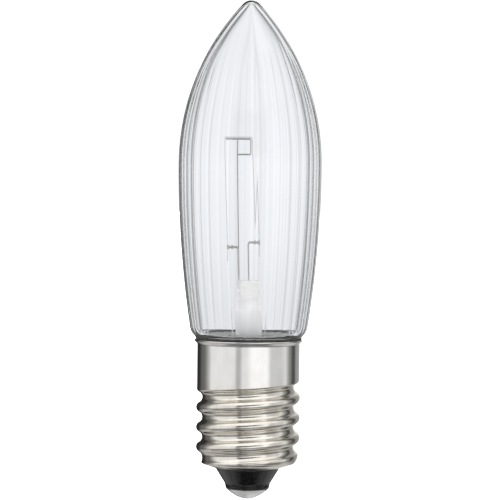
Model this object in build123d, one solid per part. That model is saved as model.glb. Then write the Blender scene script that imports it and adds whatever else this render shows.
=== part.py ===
from build123d import *
import os
from math import asin, atan, cos, degrees, pi, radians, sin, tan

# A small candle lamp: fluted clear glass on an E10 screw cap, wired inside as a real lamp is.
# Millimetres, +Z up along the lamp's axis, and z = 0 at the lowest point of the centre contact.

# Screw shell, E10: rolled from a plain cup, so crest and root have the same round
SHELL_D = 9.4
THREAD_PITCH = 1.814
THREAD_R = 0.51
THREAD_TURNS = 3.5
THREAD_START_HEIGHT = 0.965
THREAD_RUNOUT_TURNS = 0.45
THREAD_LAND = 0.15
SHELL_WALL = 0.24
SKIRT_HEIGHT = 4.372
LIP_OVERHANG = 0.26
LIP_HEIGHT = 0.38
SHELL_MOUTH_D = 5.9
SHELL_FLOOR_TILT = 17.0
SHELL_CORNER_R = 1.2
CORNER_CHORDS = 2

# Insulator and centre contact
SOLDER_D = 3.9
SOLDER_HEIGHT = 0.95
FOOT_D = 4.1
FOOT_HEIGHT = 0.45
CONE_HEIGHT = 1.45
INSULATOR_FILL = 1.6
PLATE_D = 3.4
PLATE_THICKNESS = 0.3
EYELET_D = 0.9
WIRE_HOLE_D = 0.6
BEAD_D = 0.76
BEAD_LENGTH = 0.9

# Shape of the solder drop from its lowest point up, in shares of its radius and of its height
DROP_SHAPE = [(0.28, 0.09), (0.66, 0.46), (1.0, 1.0)]

# Glass envelope
ENVELOPE_D = 13.0
BELLY_HEIGHT = 15.9
GLASS_HEIGHT = 30.74
TIP_R = 1.05
GLASS_WALL = 0.45
SHOULDER_HEIGHT = 1.15
SHOULDER_INSET = 1.13
SHOULDER_R = 1.5
SHOULDER_TURN = 62.0
NECK_DEPTH = 2.55
CEMENT_THICKNESS = 0.23
FLUTE_COUNT = 36
TIP_STATIONS = 2
OGIVE_STATIONS = 5
BARREL_STATIONS = 2
SHOULDER_STATIONS = 2

# Stem: flare, tube and press
FLARE_RIM = 0.35
FLARE_HEIGHT = 2.4
STEM_D = 2.7
STEM_BORE_D = 1.9
PRESS_WIDTH = 2.2
PRESS_THICKNESS = 1.2
PRESS_HEIGHT = 1.5
PRESS_TOP_HEIGHT = 5.38
STEM_SIDES = 24
PINCH_HEIGHT = 1.3
PRESS_FLOOR = 0.3
EXHAUST_D = 0.84
EXHAUST_BORE_D = 0.4
EXHAUST_DROP = 3.6

# Wires
LEAD_D = 0.25
TAIL_D = 0.16
SUPPORT_D = 0.18
FILAMENT_D = 0.12
WIRE_SIDES = 10
WIRE_COVER = 0.06
LEAD_SPACING = 0.86
LEAD_LEAN = 0.1
LEFT_HOOK_HEIGHT = 3.0
LEFT_HOOK_REACH = 0.84
RIGHT_HOOK_HEIGHT = 3.44
RIGHT_HOOK_REACH = 0.96
CLAMP_LENGTH = 0.4
CLAMP_THICKNESS = 0.32
WELD_DEPTH = 1.6
WELD_SPACING = 1.2
SUPPORT_BACK = 0.3
SUPPORT_LEAN = 0.32
SUPPORT_HEIGHT = 11.4
LOOP_WIDTH = 1.24
LOOP_HEIGHT = 1.4
LOOP_BAR = 2.3
FILAMENT_TAIL = 1.3
FILAMENT_GAP = 0.02

# Heights, from the contact upwards
z_plate = SOLDER_HEIGHT
z_mouth = z_plate + FOOT_HEIGHT + CONE_HEIGHT
z_groove = z_mouth + THREAD_START_HEIGHT
z_groove_top = z_groove + THREAD_TURNS * THREAD_PITCH
z_rim = z_groove_top + SKIRT_HEIGHT
z_seal = z_rim - NECK_DEPTH
z_press_top = z_rim + PRESS_TOP_HEIGHT
z_weld = z_press_top - WELD_DEPTH

# The thread's section: each round turns this far, so the flanks of crest and root run into one another
thread_turn = asin(THREAD_PITCH / (4 * THREAD_R))
thread_depth = 2 * THREAD_R * (1 - cos(thread_turn))
z_runout = z_groove_top + THREAD_PITCH / 2

# Radii of the cap
shell_r = SHELL_D / 2
mouth_r = SHELL_MOUTH_D / 2
skirt_in_r = shell_r - SHELL_WALL
bore_r = skirt_in_r - thread_depth
neck_r = skirt_in_r - CEMENT_THICKNESS
neck_in_r = neck_r - GLASS_WALL
floor_slope = tan(radians(SHELL_FLOOR_TILT))

os.makedirs("parts", exist_ok=True)


def turned(*points):
    """Solid of revolution about the lamp's axis from a closed outline of (radius, height) points."""
    return revolve(Plane.XZ * make_face(Polyline(*points, close=True).edges()), Axis.Z)


def on_circle(centre, radius, angle):
    return (centre[0] + radius * cos(radians(angle)), centre[1] + radius * sin(radians(angle)))


def stations(centre, radius, start, end, count):
    """Evenly turned points on an arc, both ends included."""
    return [on_circle(centre, radius, start + (end - start) * k / count) for k in range(count + 1)]


def wire(points, diameter):
    """Wire along a bent line with mitred corners, its round cut into a few sides."""
    path = Polyline(*points)
    section = Plane(path @ 0, z_dir=path % 0) * RegularPolygon(diameter / 2, WIRE_SIDES)
    return sweep(section, path=path, transition=Transition.RIGHT)


def thread_section():
    """Section of the groove between two crests, its rounds cut by straight flanks, and its floor's radius."""
    land = asin(THREAD_LAND / THREAD_R)
    apex_r = shell_r + THREAD_R * (1 - cos(land))
    floor_r = apex_r - thread_depth
    outside = shell_r + thread_depth
    past, start = 0.7 * land, thread_turn / 3
    root = (floor_r + THREAD_R * (1 - cos(start)), THREAD_R * sin(start))
    crest = (apex_r - THREAD_R * (1 - cos(past)), THREAD_PITCH / 2 - THREAD_R * sin(past))
    upper = [root, crest, (outside, crest[1])]
    lower = [(r, -z) for r, z in upper[::-1]]
    return Plane.XZ * make_face(Polyline(*upper, *lower, close=True).edges()), floor_r


def thread_groove():
    """Right-handed groove that fades out at both ends as the roll is lifted off."""
    section, floor_r = thread_section()
    rise = THREAD_TURNS * THREAD_PITCH
    full = sweep(section, Helix(THREAD_PITCH, rise, floor_r), is_frenet=True)
    fade_rise = THREAD_RUNOUT_TURNS * THREAD_PITCH
    lift = degrees(atan((thread_depth + THREAD_LAND) / fade_rise))
    fade = sweep(section, Helix(THREAD_PITCH, fade_rise, floor_r, cone_angle=lift), is_frenet=True)
    fade_top = Location((0, 0, rise), (0, 0, 360 * THREAD_TURNS)) * fade
    fade_low = Rot(180, 0, 0) * fade
    return Location((0, 0, z_groove), (0, 0, 180)) * (full + fade_top + fade_low)


def lip_points(inset):
    """Foot and edge of the flared lip, for the outside (0) or the inside (the wall)."""
    base_r, base_z = shell_r - inset, z_rim - LIP_HEIGHT
    return (base_r, base_z), (base_r + LIP_OVERHANG, base_z + LIP_OVERHANG + inset / 2)


def make_shell():
    turn = 90 - SHELL_FLOOR_TILT
    corner_z = z_mouth + (shell_r - mouth_r) * floor_slope + SHELL_CORNER_R * tan(radians(turn / 2))
    corner = stations((shell_r - SHELL_CORNER_R, corner_z), SHELL_CORNER_R, -turn, 0, CORNER_CHORDS)
    skirt_top, lip = lip_points(0)
    blank = turned(
        (0, z_mouth), (mouth_r, z_mouth), *corner, skirt_top, lip, (lip[0], z_rim), (0, z_rim))
    skirt_top_in, lip_in = lip_points(SHELL_WALL)
    floor_z = z_mouth + SHELL_WALL / cos(radians(SHELL_FLOOR_TILT))
    z_open = z_rim + LIP_HEIGHT
    cavity = turned(
        (0, floor_z), (mouth_r, floor_z), (bore_r, floor_z + (bore_r - mouth_r) * floor_slope),
        (bore_r, z_runout), (skirt_in_r, z_runout), skirt_top_in, lip_in,
        (lip_in[0], z_open), (0, z_open))
    mouth = turned((0, 0), (mouth_r, 0), (mouth_r, z_rim), (0, z_rim))
    return blank - thread_groove() - cavity - mouth


def make_contact_plate():
    plate = Cylinder(PLATE_D / 2, PLATE_THICKNESS, align=(Align.CENTER, Align.CENTER, Align.MIN))
    plate -= Cylinder(EYELET_D / 2, 3 * PLATE_THICKNESS)
    return Pos(0, 0, z_plate) * plate


def make_insulator(shell, plate):
    foot_r = FOOT_D / 2
    z_foot = z_plate + FOOT_HEIGHT
    z_fill = z_mouth + INSULATOR_FILL
    z_wall = z_mouth + SHELL_WALL / 2
    blank = turned(
        (0, z_plate), (foot_r, z_plate), (foot_r, z_foot), (mouth_r, z_mouth), (mouth_r, z_wall),
        (bore_r, z_wall + (bore_r - mouth_r) * floor_slope), (bore_r, z_fill), (0, z_fill))
    hole = Pos(0, 0, z_mouth) * Cylinder(WIRE_HOLE_D / 2, 4 * (z_fill - z_plate))
    eyelet = Pos(0, 0, z_plate) * Cylinder(EYELET_D / 2, 2 * PLATE_THICKNESS)
    return blank - shell - plate - hole - eyelet


def make_centre_solder(tail):
    """Drop of solder under the plate that also fills its eyelet."""
    drop = [(SOLDER_D / 2 * r, SOLDER_HEIGHT * z) for r, z in DROP_SHAPE]
    z_fill = z_plate + PLATE_THICKNESS
    return turned((0, 0), *drop, (EYELET_D / 2, z_plate), (EYELET_D / 2, z_fill), (0, z_fill)) - tail


# Arcs of the glass: tip, ogive above the belly, barrel below it, shoulder
max_r = ENVELOPE_D / 2
z_belly = z_rim + BELLY_HEIGHT
z_apex = z_rim + GLASS_HEIGHT
z_tip = z_apex - TIP_R
z_shoulder = z_rim + SHOULDER_HEIGHT
ogive_r = (max_r ** 2 + (z_tip - z_belly) ** 2 - TIP_R ** 2) / (2 * (max_r - TIP_R))
ogive_turn = degrees(asin((z_tip - z_belly) / (ogive_r - TIP_R)))
ogive_centre = (max_r - ogive_r, z_belly)
barrel_r = (SHOULDER_INSET ** 2 + (z_belly - z_shoulder) ** 2) / (2 * SHOULDER_INSET)
barrel_turn = degrees(asin((z_belly - z_shoulder) / barrel_r))
barrel_centre = (max_r - barrel_r, z_belly)
shoulder_start = on_circle(barrel_centre, barrel_r, -barrel_turn)
shoulder_centre = on_circle(shoulder_start, SHOULDER_R, 180 - barrel_turn)


def glass_outline(inset):
    """The glass from the shoulder's end up to the apex, set in from the outside by a wall."""
    shoulder = stations(shoulder_centre, SHOULDER_R - inset, -SHOULDER_TURN, -barrel_turn, SHOULDER_STATIONS)
    barrel = stations(barrel_centre, barrel_r - inset, -barrel_turn, 0, BARREL_STATIONS)
    ogive = stations(ogive_centre, ogive_r - inset, 0, ogive_turn, OGIVE_STATIONS)
    tip = stations((0, z_tip), TIP_R - inset, ogive_turn, 90, TIP_STATIONS)
    return shoulder + barrel[1:] + ogive[1:] + tip[1:-1]


def skinned(rings, peak=None):
    """Solid with flat faces from ring to ring, closed at its foot and by a face or a peak on top."""
    top = rings[-1]
    loops = [rings[0]]
    for low, high in zip(rings, rings[1:]):
        loops += [[low[k - 1], low[k], high[k], high[k - 1]] for k in range(len(low))]
    loops += [[top[k - 1], top[k], peak] for k in range(len(top))] if peak else [top]
    return Solid(Shell([Face(Wire.make_polygon(loop, close=True)) for loop in loops]))


def fluted(outline, z_end):
    """Solid with one flat for each flute between ridges that run up to a point."""
    turns = [2 * pi * k / FLUTE_COUNT for k in range(FLUTE_COUNT)]
    rings = [[(r * cos(t), r * sin(t), z) for t in turns] for r, z in outline]
    return skinned(rings, (0, 0, z_end))


def make_envelope():
    outside, inside = glass_outline(0), glass_outline(GLASS_WALL)
    z_neck, z_neck_in = outside[0][1], inside[0][1]
    z_open = z_seal - GLASS_WALL
    neck = turned((0, z_seal), (neck_r, z_seal), (neck_r, z_neck), (0, z_neck))
    bore = turned((0, z_open), (neck_in_r, z_open), (neck_in_r, z_neck_in), (0, z_neck_in))
    return neck + fluted(outside, z_apex) - fluted(inside, z_apex - GLASS_WALL) - bore


z_pinch = z_press_top - PRESS_HEIGHT
z_tube_top = z_pinch - PINCH_HEIGHT
z_tube = z_seal + FLARE_HEIGHT
z_bore_top = z_tube_top - PRESS_FLOOR
press_half = PRESS_WIDTH / 2


def ring(z, radius, spread=0):
    """Corners of a round cut into sides, its left and right halves each moved out by the spread."""
    turns = [2 * pi * (k + 0.5) / STEM_SIDES for k in range(STEM_SIDES)]
    return [(radius * cos(t) + (spread if cos(t) > 0 else -spread), radius * sin(t), z) for t in turns]


def make_stem(*inlaid):
    """Flared tube with its upper end pressed flat round the wires, and the hole its air was drawn through."""
    tube_r, bore_half, thick = STEM_D / 2, STEM_BORE_D / 2, PRESS_THICKNESS / 2
    z_under = z_seal - FLARE_RIM
    flare_r = neck_in_r - FLARE_RIM
    spread = press_half - thick
    body = skinned([
        ring(z_under, neck_r), ring(z_seal, neck_r), ring(z_seal, neck_in_r), ring(z_tube, tube_r),
        ring(z_tube_top, tube_r), ring(z_pinch, thick, spread), ring(z_press_top, thick, spread)])
    cavity = skinned([
        ring(z_under - FLARE_RIM, flare_r), ring(z_under, flare_r), ring(z_tube, bore_half),
        ring(z_bore_top, bore_half)])
    hole_z = z_tube_top + EXHAUST_BORE_D
    hole = wire([(0, 0, z_bore_top), (0, 0, hole_z), (0, STEM_D, hole_z)], EXHAUST_BORE_D)
    stem = body - cavity - hole
    for piece in inlaid:
        stem -= piece
    return stem


def make_exhaust_tube():
    """Tube under the press, drawn off to a blunt point where it was sealed."""
    outer, inner = EXHAUST_D / 2, EXHAUST_BORE_D / 2
    z_end = z_seal - EXHAUST_DROP
    z_closed = z_end + EXHAUST_D
    tube = skinned([ring(z_end, outer / 3), ring(z_closed, outer), ring(z_bore_top, outer)])
    return tube - skinned([ring(z_closed, inner), ring(z_bore_top + inner, inner)])


# Places of the wires, left to right
left_x = WIRE_COVER + LEAD_D / 2 - press_half
right_x = left_x + LEAD_SPACING
weld_x = WELD_SPACING / 2
tail_x = (EXHAUST_D + STEM_BORE_D) / 4
support_x = left_x + WIRE_COVER
loop_x = support_x - SUPPORT_LEAN + LOOP_WIDTH
bar_x = loop_x - LOOP_BAR
z_loop = z_press_top + SUPPORT_HEIGHT
z_bar = z_loop + LOOP_HEIGHT
clamp_left = Vector(left_x - LEAD_LEAN - LEFT_HOOK_REACH, 0, z_press_top + LEFT_HOOK_HEIGHT)
clamp_right = Vector(right_x - LEAD_LEAN + RIGHT_HOOK_REACH, 0, z_press_top + RIGHT_HOOK_HEIGHT)


def make_inner_lead(weld, x, clamp, filament):
    """Lead from the weld to its hook, with the end folded into a clamp on the coil."""
    lead = wire([(weld, 0, z_weld), (x, 0, z_press_top), (x - LEAD_LEAN, 0, clamp.Z), clamp], LEAD_D)
    fold = Location(clamp) * Box(CLAMP_LENGTH, CLAMP_THICKNESS, CLAMP_LENGTH)
    return lead + fold - filament


def make_outer_lead_side():
    """Tail from the weld, under the flare and up between the neck and the shell to the lip."""
    gap_r = neck_r + CEMENT_THICKNESS / 2
    z_under = z_seal - FLARE_RIM - TAIL_D
    return wire([(-weld_x, 0, z_weld), (-tail_x, 0, z_bore_top), (-tail_x, 0, z_under), (0, gap_r, z_under),
                 (0, gap_r, z_rim - LIP_HEIGHT), (0, gap_r + LIP_OVERHANG, z_rim - TAIL_D / 2)], TAIL_D)


def make_outer_lead_centre():
    z_low = z_seal - EXHAUST_DROP
    return wire([(weld_x, 0, z_weld), (tail_x, 0, z_bore_top), (tail_x, 0, z_low),
                 (0, 0, z_mouth + INSULATOR_FILL), (0, 0, z_plate)], TAIL_D)


def make_support():
    """Post from the press up to a bar, and the bar's own end bent down and back to the post as a loop."""
    top_x, y = support_x - SUPPORT_LEAN, SUPPORT_BACK
    post = wire([(support_x, y, z_weld), (support_x, y, z_press_top), (top_x, y, z_loop), (top_x, y, z_bar)],
                SUPPORT_D)
    loop = wire([(top_x, y, z_loop), (loop_x, y, z_loop), (loop_x, y, z_bar), (bar_x, y, z_bar)], SUPPORT_D)
    return post + loop


def make_filament():
    """Coil from clamp to clamp, carried along the top of the support's bar."""
    reach = (SUPPORT_D + FILAMENT_D) / 2 + FILAMENT_GAP
    y, z = SUPPORT_BACK, z_bar + reach
    tail = Vector(0, 0, FILAMENT_TAIL)
    return wire([clamp_left - tail, clamp_left, (bar_x - reach, y, z), (loop_x + reach, y, z),
                 clamp_right, clamp_right - tail], FILAMENT_D)


def make_cement(tail):
    """Ring that fills the room between the neck and the skirt up to the rim."""
    blank = turned((neck_r, z_seal), (skirt_in_r, z_seal), (skirt_in_r, z_rim), (neck_r, z_rim))
    return blank - tail


def make_side_solder(shell, envelope, tail):
    """Bead of solder along the lip at the back, where the side lead comes out."""
    place = Location((0, shell_r + LIP_OVERHANG, z_rim - SHELL_WALL / 2), (0, 90, 0))
    return place * Cylinder(BEAD_D / 2, BEAD_LENGTH) - shell - envelope - tail


shell = make_shell()
plate = make_contact_plate()
insulator = make_insulator(shell, plate)
envelope = make_envelope()
filament = make_filament()
lead_left = make_inner_lead(-weld_x, left_x, clamp_left, filament)
lead_right = make_inner_lead(weld_x, right_x, clamp_right, filament)
tail_side = make_outer_lead_side() - lead_left - shell
tail_centre = make_outer_lead_centre() - lead_right
support = make_support()
stem = make_stem(lead_left, lead_right, tail_side, tail_centre, support)
cement = make_cement(tail_side)

parts = {
    "glass_envelope": envelope,
    "glass_stem": stem,
    "exhaust_tube": make_exhaust_tube(),
    "inner_lead_left": lead_left,
    "inner_lead_right": lead_right,
    "outer_lead_side": tail_side,
    "outer_lead_centre": tail_centre,
    "filament_support": support,
    "filament": filament,
    "screw_shell": shell,
    "basing_cement": cement,
    "insulator": insulator,
    "contact_plate": plate,
    "centre_solder": make_centre_solder(tail_centre),
    "side_solder": make_side_solder(shell, envelope, tail_side),
}

for name, part in parts.items():
    export_step(part, f"parts/{name}.step")
    print(f"{name:20s} solids {len(part.solids())} volume {part.volume:9.3f} mm3")
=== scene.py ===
# %% [markdown]
# # A small fluted candle lamp
#
# The lamp is clear glass blown into a ribbed mould, cemented into a rolled screw cap, with a wire mount
# inside that shows through. The solids come from CAD and already have the right size and place, so this
# lesson only dresses them: finer meshes where the facets of a solid would show, and a finish for each
# surface.

# %% Load the frame
from math import asin, cos, degrees, pi, radians, sin, tan

import bmesh
import bpy
from mathutils import Matrix, Vector


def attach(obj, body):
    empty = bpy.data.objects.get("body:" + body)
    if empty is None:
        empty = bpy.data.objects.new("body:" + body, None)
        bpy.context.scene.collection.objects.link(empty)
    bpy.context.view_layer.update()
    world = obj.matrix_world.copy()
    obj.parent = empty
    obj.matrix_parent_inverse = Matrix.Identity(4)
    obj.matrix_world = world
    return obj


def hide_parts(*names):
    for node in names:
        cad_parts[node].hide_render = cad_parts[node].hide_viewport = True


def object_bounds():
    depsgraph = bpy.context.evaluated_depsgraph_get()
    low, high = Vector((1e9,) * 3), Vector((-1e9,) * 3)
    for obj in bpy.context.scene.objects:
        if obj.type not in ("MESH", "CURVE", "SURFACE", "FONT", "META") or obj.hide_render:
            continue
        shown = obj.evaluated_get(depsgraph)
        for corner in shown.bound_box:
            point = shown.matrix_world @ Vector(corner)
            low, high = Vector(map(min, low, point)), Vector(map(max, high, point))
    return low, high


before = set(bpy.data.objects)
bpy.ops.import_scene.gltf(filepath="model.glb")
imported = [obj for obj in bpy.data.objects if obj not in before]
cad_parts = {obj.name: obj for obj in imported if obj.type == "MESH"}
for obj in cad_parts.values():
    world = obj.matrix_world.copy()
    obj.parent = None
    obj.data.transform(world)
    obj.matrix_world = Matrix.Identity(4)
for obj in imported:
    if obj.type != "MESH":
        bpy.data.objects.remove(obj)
cad_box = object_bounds()
MM = 0.001
box_mm = [[round(value / MM, 2) for value in corner] for corner in cad_box]
print("nodes in the frame:", len(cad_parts), "box in mm:", box_mm)

# %% [markdown]
# ## Sizes
#
# A mesh that stands for a solid has to keep its form, so the script repeats the sizes of the CAD source, in
# millimetres, and works out the same levels from them. Heights count from the tip of the centre contact.

# %% Sizes of the cap
CREST_R, SKIRT_R, THREAD_PITCH, THREAD_R = 4.73, 4.67, 1.814, 0.51
THREAD_TURNS, RUNOUT_TURNS, GROOVE_RISE, RIM_RISE = 3.5, 0.45, 0.965, 4.372
MOUTH_R, FLOOR_TILT, CORNER_R, SHELL_WALL = 2.95, 17.0, 1.2, 0.24
LIP_OVERHANG, LIP_HEIGHT = 0.26, 0.38
THREAD_DEPTH = 2 * THREAD_R * (1 - cos(asin(THREAD_PITCH / 4 / THREAD_R)))
SOLDER_R, Z_PLATE, Z_FOOT, Z_MOUTH = 1.95, 0.95, 1.40, 2.85
Z_GROOVE = Z_MOUTH + GROOVE_RISE
Z_GROOVE_TOP = Z_GROOVE + THREAD_TURNS * THREAD_PITCH
Z_RIM = Z_GROOVE_TOP + RIM_RISE
print(f"thread depth {THREAD_DEPTH:.3f}, top of the groove {Z_GROOVE_TOP:.2f}, rim {Z_RIM:.2f}")

# %% Sizes of the glass
MAX_R, TIP_R, GLASS_WALL, NECK_R = 6.5, 1.05, 0.45, 4.23
Z_SEAL, Z_BELLY, Z_APEX = Z_RIM - 2.55, Z_RIM + 15.9, Z_RIM + 30.74
Z_SHOULDER, SHOULDER_INSET, SHOULDER_R, SHOULDER_TURN = Z_RIM + 1.15, 1.13, 1.5, 62.0
Z_TIP = Z_APEX - TIP_R
OGIVE_R = (MAX_R ** 2 + (Z_TIP - Z_BELLY) ** 2 - TIP_R ** 2) / (2 * (MAX_R - TIP_R))
OGIVE_TURN = degrees(asin((Z_TIP - Z_BELLY) / (OGIVE_R - TIP_R)))
BARREL_R = (SHOULDER_INSET ** 2 + (Z_BELLY - Z_SHOULDER) ** 2) / (2 * SHOULDER_INSET)
BARREL_TURN = degrees(asin((Z_BELLY - Z_SHOULDER) / BARREL_R))
print(f"ogive radius {OGIVE_R:.2f}, barrel radius {BARREL_R:.2f}, apex {Z_APEX:.2f}")

# %% Sizes of the mount
TUBE_R, BORE_R, FLARE_RIM, EXHAUST_R, EXHAUST_BORE_R = 1.35, 0.95, 0.35, 0.42, 0.2
PRESS_HALF, PRESS_THICK = 1.1, 0.6
Z_PRESS = Z_RIM + 5.38
Z_PINCH, Z_TUBE_TOP, Z_TUBE = Z_PRESS - 1.5, Z_PRESS - 2.8, Z_SEAL + 2.4
Z_WELD, Z_BORE_TOP, Z_DRAWN_OFF = Z_PRESS - 1.6, Z_PRESS - 3.1, Z_SEAL - 3.6
LEAD_D, TAIL_D, SUPPORT_D, COIL_D = 0.22, 0.16, 0.15, 0.12
LEFT_X, RIGHT_X, WELD_X, TAIL_X = -0.915, -0.055, 0.6, 0.685
LEFT_CLAMP = Vector((LEFT_X - 0.94, 0.0, Z_PRESS + 3.0))
RIGHT_CLAMP = Vector((RIGHT_X + 0.86, 0.0, Z_PRESS + 3.44))
POST_X, POST_TOP_X, LOOP_X, BAR_X, POST_Y = -0.855, -1.175, 0.065, -2.235, 0.3
Z_LOOP, Z_BAR = Z_PRESS + 11.4, Z_PRESS + 12.8
print(f"press top {Z_PRESS:.2f}, hooks {LEFT_CLAMP.z:.2f} and {RIGHT_CLAMP.z:.2f}, bar {Z_BAR:.2f}")

# %% [markdown]
# ## Camera
#
# The photograph is a square seen almost level, from about five lamp heights away, with the lamp leaning
# half a degree to the right. The lens follows from the distance and from how much of the world fills the
# frame.

# %% Camera
CAMERA_DISTANCE, CAMERA_HEIGHT, FRAME_WIDTH = 217.0, 28.0, 45.4
AIM_SIDE, AIM_HEIGHT, ROLL, NEAREST = 0.05, 22.65, 0.5, 10.0
camera = bpy.data.objects.new("camera", bpy.data.cameras.new("camera"))
bpy.context.scene.collection.objects.link(camera)
camera.location = Vector((0.0, -CAMERA_DISTANCE, CAMERA_HEIGHT)) * MM
look = Vector((AIM_SIDE, CAMERA_DISTANCE, AIM_HEIGHT - CAMERA_HEIGHT)).to_track_quat("-Z", "Y").to_matrix()
camera.rotation_euler = (look @ Matrix.Rotation(radians(ROLL), 3, "Z")).to_euler()
camera.data.lens = camera.data.sensor_width * CAMERA_DISTANCE / FRAME_WIDTH
camera.data.clip_start = NEAREST * MM
bpy.context.scene.camera = camera
print(f"lens {camera.data.lens:.1f} mm")

# %% [markdown]
# ## A helper for node trees
#
# Shaders and Geometry Nodes are both graphs of small nodes. One class wraps a socket, so that Python's
# operators add Math nodes and a formula reads as a formula. Every other node comes from one method, which
# takes the node's type, its settings and what goes into its sockets.

# %% Flow: sockets with operators
class Flow:
    """An output socket of a node tree, or the tree itself while no socket is named."""

    def __init__(self, tree, socket=None):
        self.tree, self.socket = tree, socket

    def node(self, kind, settings=None, inputs=None, out=0):
        made = self.tree.nodes.new(kind)
        for name, value in (settings or {}).items():
            if name == "stops":
                self.fill_ramp(made.color_ramp, value)
            else:
                setattr(made, name, value)
        for key, value in (inputs or {}).items():
            if isinstance(value, Flow):
                self.tree.links.new(value.socket, made.inputs[key])
            else:
                made.inputs[key].default_value = value
        return Flow(self.tree, made.outputs[out]) if made.outputs else made

    @staticmethod
    def fill_ramp(ramp, stops):
        while len(ramp.elements) < len(stops):
            ramp.elements.new(1.0)
        for element, (place, colour) in zip(ramp.elements, stops):
            element.position = place
            element.color = (*colour, 1.0) if isinstance(colour, tuple) else (colour, colour, colour, 1.0)

    def math(self, operation, *values):
        return self.node("ShaderNodeMath", {"operation": operation}, dict(enumerate(values)))

    def __add__(self, other):
        return self.math("ADD", self, other)

    def __radd__(self, other):
        return self.math("ADD", other, self)

    def __sub__(self, other):
        return self.math("SUBTRACT", self, other)

    def __rsub__(self, other):
        return self.math("SUBTRACT", other, self)

    def __mul__(self, other):
        return self.math("MULTIPLY", self, other)

    def __rmul__(self, other):
        return self.math("MULTIPLY", other, self)

    def __truediv__(self, other):
        return self.math("DIVIDE", self, other)

    def __rtruediv__(self, other):
        return self.math("DIVIDE", other, self)

    def clamped(self):
        """The value, kept between 0 and 1."""
        return self.math("MINIMUM", self.math("MAXIMUM", self, 0.0), 1.0)

    def ramp(self, *stops):
        """Colour, or grey where a stop is a number, that follows the value from stop to stop."""
        return self.node("ShaderNodeValToRGB", {"stops": stops}, {0: self})

    def mix(self, first, second):
        """Colour between two others, with this value as the share of the second."""
        return self.node("ShaderNodeMix", {"data_type": "RGBA"}, {0: self, 6: first, 7: second}, out=2)

    def times(self, other):
        """This colour multiplied by another."""
        settings = {"data_type": "RGBA", "blend_type": "MULTIPLY"}
        return self.node("ShaderNodeMix", settings, {0: 1.0, 6: self, 7: other}, out=2)

    def parts(self):
        split = self.node("ShaderNodeSeparateXYZ", None, {0: self}).socket.node
        return [Flow(self.tree, socket) for socket in split.outputs]


print("helper ready")

# %% [markdown]
# ## Studio
#
# Clear glass is lit from behind: a white ground shines through it, and dark strips at both ends of that
# ground draw the lamp's edges. The plated cap is a mirror, so its bands of light and dark are the panels
# that stand around it. Lamps and cards could do this, but a world that asks how a ray arrived needs no
# objects: each list gives brightness by compass angle from the camera, or by height from straight below (0)
# to straight above (1).

# %% Lists of panels
MIRRORED = [(-180, -179, 0.45), (-175, -143, 0.03), (-134, -134, 0.085), (-126, -117, 0.15),
            (-107, -107, 0.31), (-98, -98, 0.565), (-91, -34, 0.88), (-30, -30, 0.84), (-26, -19, 0.50),
            (-13, -4, 0.85), (8, 42, 1.12), (52, 80, 0.66), (88, 93, 0.77), (100, 100, 0.42),
            (105, 105, 0.29), (112, 112, 0.20), (116, 127, 0.09), (133, 145, 0.33), (157, 157, 0.5),
            (172, 180, 1.0)]
THROUGH = [(-180, -177, 0.96), (-174, -174, 0.935), (-171.5, -171.5, 0.84), (-168.5, -168.5, 0.55),
           (-165.5, -156, 0.03), (-148, -110, 1.04), (-100, -36, 0.98), (-24, -15, 0.10), (-9, 9, 0.98),
           (15, 24, 0.10), (36, 100, 0.98), (110, 148, 1.07), (157, 164.5, 0.14), (168, 168, 0.52),
           (171, 171, 0.78), (174, 174, 0.90), (176, 176, 0.98), (178, 178, 1.05), (180, 180, 0.98)]
CLOTH = [(-180, -155, 0.3), (-140, -100, 0.1), (-75, 65, 1.0), (90, 150, 0.0), (170, 180, 0.3)]
GAP = [(-180, -29, 0.0), (-25, 14, 1.0), (38, 180, 0.0)]
BELOW = [(0.0, 0.26), (0.018, 0.22), (0.04, 0.02), (0.09, 0.6), (0.20, 0.28), (0.30, 0.35), (0.40, 1.0)]
GROUND_FADE = [(0.474, 0.86), (0.490, 0.96), (0.505, 1.0), (0.515, 0.98), (0.535, 0.95)]
GAP_HEIGHT = [(0.53, 0.0), (0.56, 1.0), (0.70, 1.0), (0.75, 0.0)]
CLOTH_HEIGHT = [(0.72, 0.0), (0.80, 1.0)]
GLOW_HEIGHT, GLOW_BACK = [(0.22, 0.5), (0.36, 0.0)], [(0.5, 0.0), (0.62, 1.0)]
CLOTH_LIGHT, GAP_LIGHT, GLOW_LIGHT, SOFT_LIGHT, BACKDROP_LIGHT = 1.15, 0.12, 1.0, 2.4, 1.1
print("panels seen in the cap:", len(MIRRORED), "and through the glass:", len(THROUGH))

# %% World of panels
def grey(level):
    return (level, level, level, 1.0)


def ring_of_panels(turn, panels):
    """Brightness by compass angle; each panel holds from its first angle to its last."""
    stops = [(angle / 360 + 0.5, level) for low, high, level in panels for angle in sorted({low, high})]
    return turn.ramp(*stops)


def mirrored_light(turn, height, behind):
    """What the cap mirrors: the panels, a glow low behind, a dark gap over the camera, a cloth overhead."""
    light = ring_of_panels(turn, MIRRORED).times(height.ramp(*BELOW))
    glow = height.ramp(*GLOW_HEIGHT) * behind.ramp(*GLOW_BACK)
    light = glow.mix(light, grey(GLOW_LIGHT))
    gap = height.ramp(*GAP_HEIGHT) * ring_of_panels(turn, GAP)
    light = gap.mix(light, grey(GAP_LIGHT))
    cloth = height.ramp(*CLOTH_HEIGHT) * ring_of_panels(turn, CLOTH)
    return cloth.mix(light, grey(CLOTH_LIGHT))


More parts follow.
